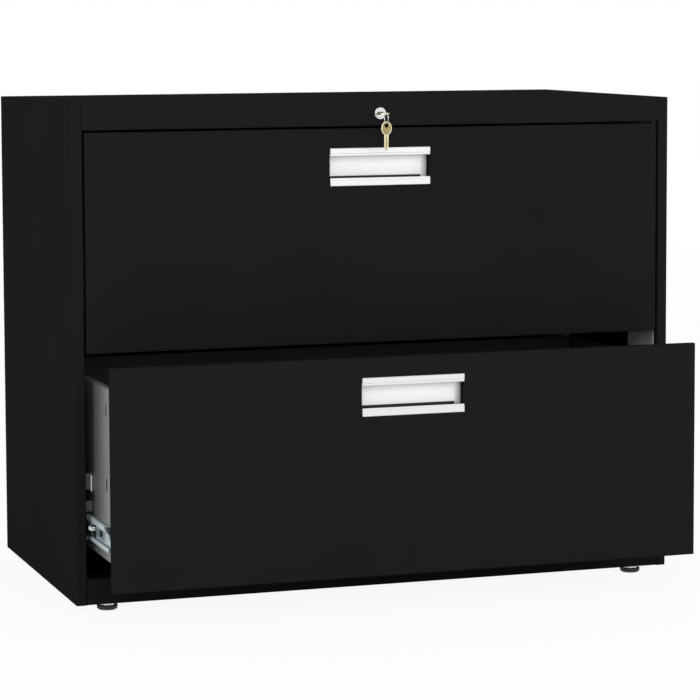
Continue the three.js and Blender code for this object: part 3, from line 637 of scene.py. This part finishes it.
class CABINET_OT_finish_pulls(bpy.types.Operator):
    """Aluminium pulls with their label cards, and a dark sheet under each card as painted shade in its recess
    """

    bl_idname = "cabinet.finish_pulls"
    bl_label = "Finish Pulls"
    bl_options = {"REGISTER", "UNDO"}

    def execute(self, context):
        finishes = context.scene.cabinet_finishes
        dress(satin_aluminium(finishes), [f"{level}_drawer_pull" for level in LEVELS])
        dress(paper_card(finishes), [f"{level}_drawer_label" for level in LEVELS])
        # Black plastic used as painted shade in each pull's recess.
        shade_black = moulded_plastic("pull_recess_shade_black", finishes.shade_black, rough=0.7)
        for level in LEVELS:
            self.recess_shade(level, context.scene.cabinet_fittings, shade_black)
        return {"FINISHED"}

    def recess_shade(self, level, sizes, shade_black):
        """A thin dark angle on the floor and the back of the recess, as long as the card, as painted shade in
        the recess.
        """
        low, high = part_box(f"{level}_drawer_pull")
        card_low, card_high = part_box(f"{level}_drawer_label")
        thin = sizes.recess_shade_thickness
        front = low.y + sizes.recess_shade_front
        back = high.y - sizes.pull_wall
        foot = low.z + sizes.recess_shade_rise
        head = card_low.z - thin
        profile = [(front, foot), (back, foot), (back, head), (back - thin, head),
                   (back - thin, foot + thin), (front, foot + thin)]
        bm = bmesh.new()
        middle = Vector(((card_low.x + card_high.x) / 2.0, 0.0, 0.0))
        add_plate(bm, [profile], card_high.x - card_low.x, thin / 8.0, basis(BACK, UP, ACROSS, middle))
        make_piece(f"{level}_pull_recess_shade", bm, f"{level}_drawer", shade_black)


class CABINET_OT_finish_base(bpy.types.Operator):
    """Plated glides with their nuts, and the counterweight"""

    bl_idname = "cabinet.finish_base"
    bl_label = "Finish Base"
    bl_options = {"REGISTER", "UNDO"}

    def execute(self, context):
        finishes = context.scene.cabinet_finishes
        sizes = context.scene.cabinet_fittings
        dress(rough_iron(finishes), ["counterweight"])
        dress(plain_metal("glide_plated_steel", finishes.glide, low=0.3, high=0.45, scratch=300.0), GLIDES)
        steel = plain_metal("nut_steel", finishes.steel, low=0.25, high=0.42, scratch=500.0)
        corner = sizes.nut_width / math.sqrt(3.0)
        chamfer = sizes.nut_chamfer
        for name in GLIDES:
            low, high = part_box(name)
            foot = low.z + sizes.nut_rise
            head = foot + sizes.nut_height
            outline = [(0.0, foot), (corner - chamfer, foot), (corner, foot + chamfer / 2.0),
                       (corner, head - chamfer / 2.0), (corner - chamfer, head), (0.0, head)]
            bm = bmesh.new()
            middle = (low + high) / 2.0
            add_turned(bm, outline, Matrix.Translation((middle.x, middle.y, 0.0)), NUT_SIDES)
            make_piece(f"{name}_nut", bm, name, steel)
        return {"FINISHED"}


class CABINET_OT_finish_lock(bpy.types.Operator):
    """Chrome lock, brass keys and the steel ring, with the spare key on it"""

    bl_idname = "cabinet.finish_lock"
    bl_label = "Finish Lock"
    bl_options = {"REGISTER", "UNDO"}

    def execute(self, context):
        finishes = context.scene.cabinet_finishes
        sizes = context.scene.cabinet_fittings
        chrome = plain_metal("lock_chrome_plate", finishes.chrome, low=0.1, high=0.2, scratch=300.0)
        dress(chrome, ["lock_housing", "lock_plug"])
        brass = plain_metal("key_worn_highlit_brass", finishes.brass, low=0.22, high=0.38, scratch=420.0)
        dress(brass, ["key"])
        steel = plain_metal("ring_bright_steel", finishes.steel, low=0.15, high=0.3, scratch=500.0)
        dress(steel, ["key_ring"])
        # A dark plate on the plug, as painted shade round the keyway.
        self.keyway_shade(sizes, moulded_plastic("keyway_shade_black_plastic", finishes.shade_black, rough=0.5))
        dull = plain_metal("key_dull_brass", finishes.patina, low=0.3, high=0.5, scratch=420.0)
        self.spare_key(sizes, brass, dull)
        return {"FINISHED"}

    def spare_key(self, sizes, brass, dull):
        """The key that hangs from the ring, in two metals."""
        low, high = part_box("key_ring")
        middle = (low + high) / 2.0
        hang = Vector((middle.x, middle.y, low.z + sizes.ring_wire + sizes.key_rim))
        raised = bmesh.new()
        hollow = bmesh.new()
        self.add_key(raised, hollow, sizes, basis(ACROSS, -UP, BACK, hang))
        make_piece("spare_key", raised, "key_ring", brass)
        make_piece("spare_key_hollows", hollow, "key_ring", dull)

    def keyway_shade(self, sizes, plastic):
        """A dark plate on the plug's face, with the keyway left open, as painted shade round the keyway."""
        low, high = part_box("lock_plug")
        middle = (low + high) / 2.0
        face = Vector((middle.x, low.y, middle.z))
        long, tall, rim = sizes.keyway_shade_long, sizes.keyway_shade_tall, sizes.keyway_shade_rim
        loops = [stadium(long, tall), stadium(long - 2.0 * rim, tall - 2.0 * rim)]
        thick = sizes.keyway_shade_thickness
        bm = bmesh.new()
        add_plate(bm, loops, thick, thick / 4.0, basis(ACROSS, UP, -BACK, face))
        make_piece("lock_keyway_shade", bm, "lock_plug", plastic)

    def add_key(self, raised, hollow, sizes, place):
        """A flat key along the placement's Y: bow with a raised rim, and a grooved, cut blade."""
        wide = sizes.bow_width / 2.0
        tall = sizes.bow_length / 2.0
        edge = sizes.blade_width / 2.0
        tip = sizes.key_length
        hole = ellipse(sizes.key_hole, sizes.key_hole, (0.0, sizes.key_rim + sizes.key_hole), 24)
        bow = ellipse(wide, tall, (0.0, tall))
        inner = ellipse(wide - sizes.rim_width, tall - sizes.rim_width, (0.0, tall))
        start = sizes.bow_length - sizes.key_rim
        taper = tip - sizes.tip_length
        point = sizes.tip_width / 2.0
        core = [(-edge, start), (edge, start), (edge, taper), (point, tip), (-point, tip), (-edge, taper)]
        groove = sizes.groove_width / 2.0
        slit = groove / 4.0
        plain_rail = [(-edge, start), (-groove, start), (-groove, taper)]
        plain_rail += [(-slit, tip), (-point, tip), (-edge, taper)]
        cut_rail = [(groove, start), (edge, start)]
        for index, depth in enumerate(KEY_CUTS):
            at = sizes.bow_length + sizes.cut_pitch * (index + 0.75)
            cut_rail += [(edge, at), (edge - depth, at + sizes.cut_pitch / 2.0)]
        cut_rail += [(edge, taper), (point, tip), (slit, tip), (groove, taper)]
        bevel = sizes.rim_height / 2.0
        add_plate(hollow, [bow, hole], sizes.key_thickness, bevel, place)
        add_plate(hollow, [core], sizes.key_thickness / 2.0, bevel, place)
        add_plate(raised, [bow, inner], sizes.key_thickness + 2.0 * sizes.rim_height, bevel, place)
        add_plate(raised, [plain_rail], sizes.key_thickness, bevel, place)
        add_plate(raised, [cut_rail], sizes.key_thickness, bevel, place)


class CABINET_OT_stop_pins(bpy.types.Operator):
    """White nylon pins on the stop brackets"""

    bl_idname = "cabinet.stop_pins"
    bl_label = "Stop Pins"
    bl_options = {"REGISTER", "UNDO"}

    def execute(self, context):
        sizes = context.scene.cabinet_fittings
        nylon = moulded_plastic("stop_white_nylon", context.scene.cabinet_finishes.nylon, rough=0.4)
        radius = sizes.pin_radius
        caps = [(math.sin(a), math.cos(a)) for a in (0.0, math.pi / 6, math.pi / 3, math.pi / 2)]
        outline = [(radius * s, -radius * c) for s, c in caps]
        outline += [(radius * s, sizes.pin_length - 2.0 * radius + radius * c) for s, c in reversed(caps)]
        for slide in SLIDES:
            low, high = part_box(f"{slide}_stop_bracket")
            outward = outward_sign(slide)
            inboard = low.x if outward > 0 else high.x
            place = Vector((inboard + outward * (radius + sizes.pin_gap), low.y - radius,
                            high.z - sizes.pin_drop - sizes.pin_length))
            bm = bmesh.new()
            add_turned(bm, outline, Matrix.Translation(place))
            make_piece(f"{slide}_stop_pin", bm, "case", nylon)
        return {"FINISHED"}


class CABINET_OT_slide_fittings(bpy.types.Operator):
    """Balls, rivets and nylon bumpers of the slides, and dark blocks as painted shade ahead of the drawer
    members
    """

    bl_idname = "cabinet.slide_fittings"
    bl_label = "Slide Fittings"
    bl_options = {"REGISTER", "UNDO"}

    def execute(self, context):
        finishes = context.scene.cabinet_finishes
        sizes = context.scene.cabinet_fittings
        steel = plain_metal("ball_bright_steel", finishes.steel, low=0.12, high=0.25, scratch=700.0)
        nylon = moulded_plastic("slide_white_nylon", finishes.nylon, rough=0.45)
        # Black plastic for the blocks that are painted shade ahead of the drawer members.
        shade_black = moulded_plastic("slide_shade_black", finishes.shade_black, rough=0.6)
        for slide in SLIDES:
            outward = outward_sign(slide) * ACROSS
            self.balls(slide, sizes, steel)
            self.bumper(slide, outward, sizes, nylon)
            self.stop(slide, outward, sizes, shade_black)
            self.rivets(slide, outward, sizes, steel)
        return {"FINISHED"}

    def balls(self, slide, sizes, steel):
        body = f"{slide}_slide_retainer"
        low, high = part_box(body)
        bm = bmesh.new()
        radius = sizes.ball_radius
        for y in evenly(low.y + sizes.ball_pitch / 2.0, high.y - sizes.ball_pitch / 2.0, sizes.ball_pitch):
            for z in (low.z + sizes.ball_inset, high.z - sizes.ball_inset):
                place = Matrix.Translation(((low.x + high.x) / 2.0, y, z))
                bmesh.ops.create_uvsphere(bm, u_segments=10, v_segments=8, radius=radius, matrix=place)
        make_piece(f"{slide}_slide_balls", bm, body, steel)

    def bumper(self, slide, outward, sizes, nylon):
        """A slotted block clipped over the front end of a middle member's web."""
        body = f"{slide}_slide_middle_member"
        low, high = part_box(body)
        place = Vector(((low.x + high.x) / 2.0, low.y, (low.z + high.z) / 2.0 + sizes.bumper_rise))
        wide = sizes.bumper_width / 2.0
        grip = sizes.bumper_grip / 2.0
        nose = -sizes.bumper_nose
        tail = sizes.bumper_length - sizes.bumper_nose
        fork = [(-wide, tail), (-wide, nose), (wide, nose), (wide, tail)]
        fork += [(grip, tail), (grip, 0.0), (-grip, 0.0), (-grip, tail)]
        leaf = (sizes.bumper_height - sizes.bumper_slot) / 2.0
        bm = bmesh.new()
        for side in (-1, 1):
            rise = side * (sizes.bumper_slot + leaf) / 2.0 * UP
            add_plate(bm, [fork], leaf, sizes.rim_height, basis(ACROSS, BACK, UP, place + rise))
        slot = sizes.bumper_slot
        cheek = [(nose, -slot), (tail, -slot), (tail, slot), (nose, slot)]
        outer = place + outward * (wide - leaf / 2.0)
        add_plate(bm, [cheek], leaf, sizes.rim_height, basis(BACK, UP, ACROSS, outer))
        make_piece(f"{slide}_slide_bumper", bm, body, nylon)

    def stop(self, slide, outward, sizes, shade_black):
        """A rounded dark block on the drawer side, ahead of the slanted end of the drawer member, as painted
        shade in the socket there.
        """
        low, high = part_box(f"{slide}_slide_drawer_member")
        wall = low.x if outward.x > 0.0 else high.x
        place = Vector((wall, low.y + sizes.shade_block_inset, high.z - sizes.shade_block_drop))
        place += outward * (sizes.shade_block_thickness / 2.0)
        bm = bmesh.new()
        add_plate(bm, [stadium(sizes.shade_block_length, sizes.shade_block_height)], sizes.shade_block_thickness, sizes.rim_height,
                  basis(BACK, UP, ACROSS, place))
        make_piece(f"{slide}_slide_shade_block", bm, f"{slide.split('_')[0]}_drawer", shade_black)

    def rivets(self, slide, outward, sizes, steel):
        body = f"{slide}_slide_case_member"
        low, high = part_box(body)
        web = (high.x if outward.x > 0.0 else low.x) - outward.x * sizes.member_sheet
        bm = bmesh.new()
        for y in (low.y + sizes.rivet_inset, high.y - sizes.rivet_inset):
            place = basis(BACK, UP, -outward, Vector((web, y, (low.z + high.z) / 2.0)))
            add_turned(bm, domed(sizes.rivet_radius, sizes.rivet_height), place)
        make_piece(f"{slide}_slide_rivets", bm, "case", steel)


class CABINET_OT_back_rivets(bpy.types.Operator):
    """Painted rivets that hold the back to the side panels and the top"""

    bl_idname = "cabinet.back_rivets"
    bl_label = "Back Rivets"
    bl_options = {"REGISTER", "UNDO"}

    def execute(self, context):
        sizes = context.scene.cabinet_fittings
        low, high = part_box("back_panel")
        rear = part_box("left_side_panel")[1].y
        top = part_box("top_panel")[1].z
        inset = sizes.back_rivet_inset
        pitch = sizes.back_rivet_pitch
        spots = [(x, z) for x in (low.x + inset, high.x - inset)
                 for z in evenly(low.z + sizes.back_rivet_foot, high.z - sizes.back_rivet_head, pitch)]
        end = sizes.back_rivet_end
        spots += [(x, top - inset) for x in evenly(low.x + end, high.x - end, pitch)]
        bm = bmesh.new()
        for x, z in spots:
            place = basis(ACROSS, -UP, BACK, Vector((x, rear, z)))
            add_turned(bm, domed(sizes.back_rivet_radius, sizes.back_rivet_height), place)
        coat = powder_coat(context.scene.cabinet_finishes)
        make_piece("back_rivets", bm, "case", coat)
        return {"FINISHED"}


class CABINET_OT_set_stage(bpy.types.Operator):
    """Pale floor, soft studio light and the camera"""

    bl_idname = "cabinet.set_stage"
    bl_label = "Set Stage"
    bl_options = {"REGISTER", "UNDO"}

    def execute(self, context):
        stage = context.scene.cabinet_stage
        context.scene.view_settings.view_transform = "Standard"
        self.floor(context, stage)
        self.world(context, stage)
        aim = stage.lamp_aim
        self.lamp(context, "key_lamp", stage.key_place, stage.key_size, stage.key_power, aim)
        self.lamp(context, "fill_lamp", stage.fill_place, stage.fill_size, stage.fill_power, aim)
        self.lamp(context, "side_lamp", stage.side_place, stage.side_size, stage.side_power, aim)
        self.camera(context, stage)
        return {"FINISHED"}

    def seen(self, tree):
        """One for rays from the camera, from gloss or through glass, and nought for the rest."""
        path = tree.nodes.new("ShaderNodeLightPath")
        total = path.outputs["Is Camera Ray"]
        for kind in ("Is Glossy Ray", "Is Transmission Ray"):
            add = tree.nodes.new("ShaderNodeMath")
            add.operation = "ADD"
            add.use_clamp = True
            tree.links.new(total, add.inputs[0])
            tree.links.new(path.outputs[kind], add.inputs[1])
            total = add.outputs["Value"]
        return total

    def floor(self, context, stage):
        half = stage.floor_size / 2.0
        bm = bmesh.new()
        signs = ((-1, -1), (1, -1), (1, 1), (-1, 1))
        bm.faces.new([bm.verts.new((x * half, y * half, 0.0)) for x, y in signs])
        mesh = bpy.data.meshes.new("floor")
        bm.to_mesh(mesh)
        bm.free()
        floor = bpy.data.objects.new("floor", mesh)
        context.scene.collection.objects.link(floor)
        graph = Graph("pale_floor")
        graph.set(base_color=stage.floor_paint, roughness=0.9, specular_ior_level=0.1)
        away = graph.add("ShaderNodeVectorMath", operation="LENGTH")
        graph.join(graph.place, away.inputs[0])
        glow = graph.span(away.outputs["Value"], stage.floor_glow, 1.0, stage.fade_start, stage.fade_end)
        mix = graph.add("ShaderNodeMixShader")
        graph.join(graph.times(self.seen(graph.tree), glow), mix.inputs["Fac"])
        graph.join(graph.shader.outputs["BSDF"], mix.inputs[1])
        graph.join(graph.add("ShaderNodeEmission").outputs["Emission"], mix.inputs[2])
        graph.join(mix.outputs["Shader"], graph.tree.nodes["Material Output"].inputs["Surface"])
        mesh.materials.append(graph.material)

    def world(self, context, stage):
        world = bpy.data.worlds.new("studio")
        world.use_nodes = True
        context.scene.world = world
        tree = world.node_tree
        around = tree.nodes["Background"]
        around.inputs["Color"].default_value = WHITE
        around.inputs["Strength"].default_value = stage.ambient
        white = tree.nodes.new("ShaderNodeBackground")
        white.inputs["Color"].default_value = WHITE
        mix = tree.nodes.new("ShaderNodeMixShader")
        tree.links.new(self.seen(tree), mix.inputs["Fac"])
        tree.links.new(around.outputs["Background"], mix.inputs[1])
        tree.links.new(white.outputs["Background"], mix.inputs[2])
        tree.links.new(mix.outputs["Shader"], tree.nodes["World Output"].inputs["Surface"])

    def lamp(self, context, name, place, size, power, aim):
        light = bpy.data.lights.new(name, "AREA")
        light.shape = "SQUARE"
        light.size = size
        light.energy = power
        lamp = bpy.data.objects.new(name, light)
        context.scene.collection.objects.link(lamp)
        lamp.location = place
        lamp.rotation_euler = (Vector(aim) - Vector(place)).to_track_quat("-Z", "Y").to_euler()

    def camera(self, context, stage):
        lens = bpy.data.cameras.new("camera")
        lens.sensor_width = stage.camera_sensor
        lens.lens = stage.camera_lens
        lens.shift_y = stage.camera_shift
        yaw, pitch, roll = stage.camera_yaw, stage.camera_pitch, stage.camera_roll
        ahead = Vector((math.sin(yaw) * math.cos(pitch), math.cos(yaw) * math.cos(pitch), math.sin(pitch)))
        right = Vector((math.cos(yaw), -math.sin(yaw), 0.0))
        above = right.cross(ahead)
        rolled_right = math.cos(roll) * right + math.sin(roll) * above
        rolled_above = math.cos(roll) * above - math.sin(roll) * right
        camera = bpy.data.objects.new("camera", lens)
        context.scene.collection.objects.link(camera)
        camera.matrix_world = basis(rolled_right, rolled_above, -ahead, Vector(stage.camera_place))
        context.scene.camera = camera


STEPS = (
    CABINET_OT_paint_case,
    CABINET_OT_paint_drawers,
    CABINET_OT_plate_metal,
    CABINET_OT_finish_pulls,
    CABINET_OT_finish_base,
    CABINET_OT_finish_lock,
    CABINET_OT_stop_pins,
    CABINET_OT_slide_fittings,
    CABINET_OT_back_rivets,
    CABINET_OT_set_stage,
)


GROUPS = {
    "cabinet_finishes": CabinetFinishes,
    "cabinet_fittings": CabinetFittings,
    "cabinet_stage": CabinetStage,
}


class CABINET_PT_steps(bpy.types.Panel):
    """The cabinet's steps, in the order in which they run"""

    bl_idname = "CABINET_PT_steps"
    bl_label = "Filing Cabinet"
    bl_space_type = "VIEW_3D"
    bl_region_type = "UI"
    bl_category = "Cabinet"

    def draw(self, context):
        for step in STEPS:
            self.layout.operator(step.bl_idname)
        for group in GROUPS:
            box = self.layout.box()
            values = getattr(context.scene, group)
            for name in values.__annotations__:
                box.prop(values, name)


def register():
    for kind in (*GROUPS.values(), *STEPS, CABINET_PT_steps):
        bpy.utils.register_class(kind)
    for name, group in GROUPS.items():
        setattr(bpy.types.Scene, name, bpy.props.PointerProperty(type=group))


def unregister():
    for name in GROUPS:
        delattr(bpy.types.Scene, name)
    for kind in (CABINET_PT_steps, *reversed(STEPS), *reversed(GROUPS.values())):
        bpy.utils.unregister_class(kind)


def main():
    register()
    for step in STEPS:
        family, name = step.bl_idname.split(".")
        getattr(getattr(bpy.ops, family), name)()


if __name__ == "__main__":
    main()
